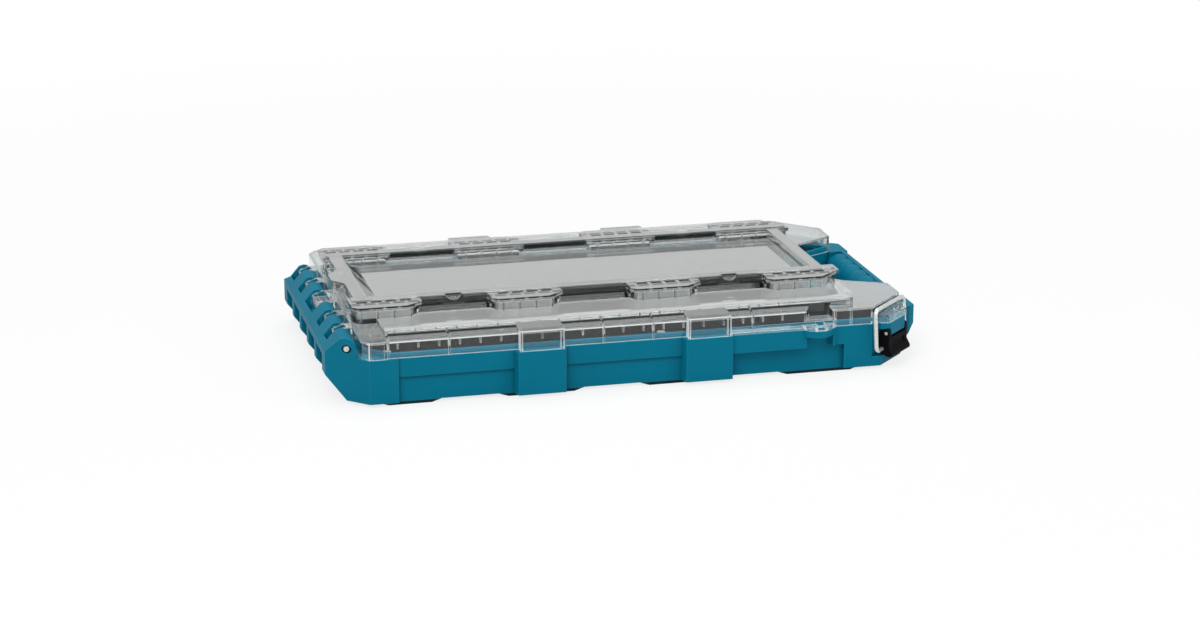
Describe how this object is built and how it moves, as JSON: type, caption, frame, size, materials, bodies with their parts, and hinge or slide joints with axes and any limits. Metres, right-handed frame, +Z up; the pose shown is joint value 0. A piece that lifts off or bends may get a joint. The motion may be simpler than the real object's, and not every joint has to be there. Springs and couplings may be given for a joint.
{
  "type": "saw blade storage case",
  "caption": "Flat two-blade storage case: moulded base, clear hinged lid with stacking rails, corner draw latches, carry handle and an inner blade tray.",
  "frame": {"origin": "middle of the footprint, on the ground under the stacking feet", "axes": "+X from the hinge wall to the carry handle, +Y across the case to the far side, +Z up; standing closed on its feet"},
  "size_m": [0.552, 0.336, 0.0766],
  "materials": {
    "base_teal": "satin moulded",
    "grip_teal": "satin moulded",
    "foot_dark": "matte",
    "tray_black": "matte",
    "post_black": "satin",
    "lever_black": "satin",
    "pad_rubber": "matte",
    "lid_clear": "clear polycarbonate",
    "zinc_steel": "zinc plated"
  },
  "bodies": {
    "case": {"base_shell": "base_teal", "handle_grip": "grip_teal", "handle_screws": "zinc_steel", "stack_feet": "foot_dark", "hinge_pin": "zinc_steel", "latch_pin_near": "zinc_steel", "latch_pin_far": "zinc_steel", "blade_tray": "tray_black", "tray_screws": "zinc_steel", "arbor_post_large": "post_black", "arbor_post_small": "post_black", "post_screws": "zinc_steel", "blade_pad_large": "pad_rubber", "blade_pad_small": "pad_rubber", "knob_washer_large": "pad_rubber", "knob_washer_small": "pad_rubber"},
    "lid": {"lid_shell": "lid_clear"},
    "lever_near": {"latch_lever_near": "lever_black"},
    "bail_near": {"latch_bail_near": "zinc_steel"},
    "lever_far": {"latch_lever_far": "lever_black"},
    "bail_far": {"latch_bail_far": "zinc_steel"},
    "knob_large": {"retaining_knob_large": "grip_teal"},
    "knob_small": {"retaining_knob_small": "grip_teal"}
  },
  "joints": [
    {"name": "lid_hinge", "type": "hinge", "parent": "case", "child": "lid", "pos_m": [-0.259, 0, 0.05], "axis": [0, -1, 0], "range_deg": [0, 105]},
    {"name": "lever_near_pivot", "type": "hinge", "parent": "case", "child": "lever_near", "pos_m": [0.24563, -0.14363, 0.033], "axis": [-0.7071, -0.7071, 0], "range_deg": [0, 105]},
    {"name": "bail_near_pivot", "type": "hinge", "parent": "lever_near", "child": "bail_near", "pos_m": [0.2428, -0.1408, 0.018], "axis": [-0.7071, -0.7071, 0], "range_deg": [-183.75, 0]},
    {"name": "lever_far_pivot", "type": "hinge", "parent": "case", "child": "lever_far", "pos_m": [0.24563, 0.14363, 0.033], "axis": [0.7071, -0.7071, 0], "range_deg": [0, 105]},
    {"name": "bail_far_pivot", "type": "hinge", "parent": "lever_far", "child": "bail_far", "pos_m": [0.2428, 0.1408, 0.018], "axis": [0.7071, -0.7071, 0], "range_deg": [-183.75, 0]},
    {"name": "knob_large_turn", "type": "hinge", "parent": "case", "child": "knob_large", "pos_m": [-0.1069, 0, 0.05], "axis": [0, 0, 1], "range_deg": [0, 90]},
    {"name": "knob_small_turn", "type": "hinge", "parent": "case", "child": "knob_small", "pos_m": [0.1119, 0, 0.05], "axis": [0, 0, 1], "range_deg": [0, 90]}
  ],
  "couplings": [
    {"joint": "bail_near_pivot", "follows": "lever_near_pivot", "ratio": -1.75},
    {"joint": "bail_far_pivot", "follows": "lever_far_pivot", "ratio": -1.75}
  ]
}
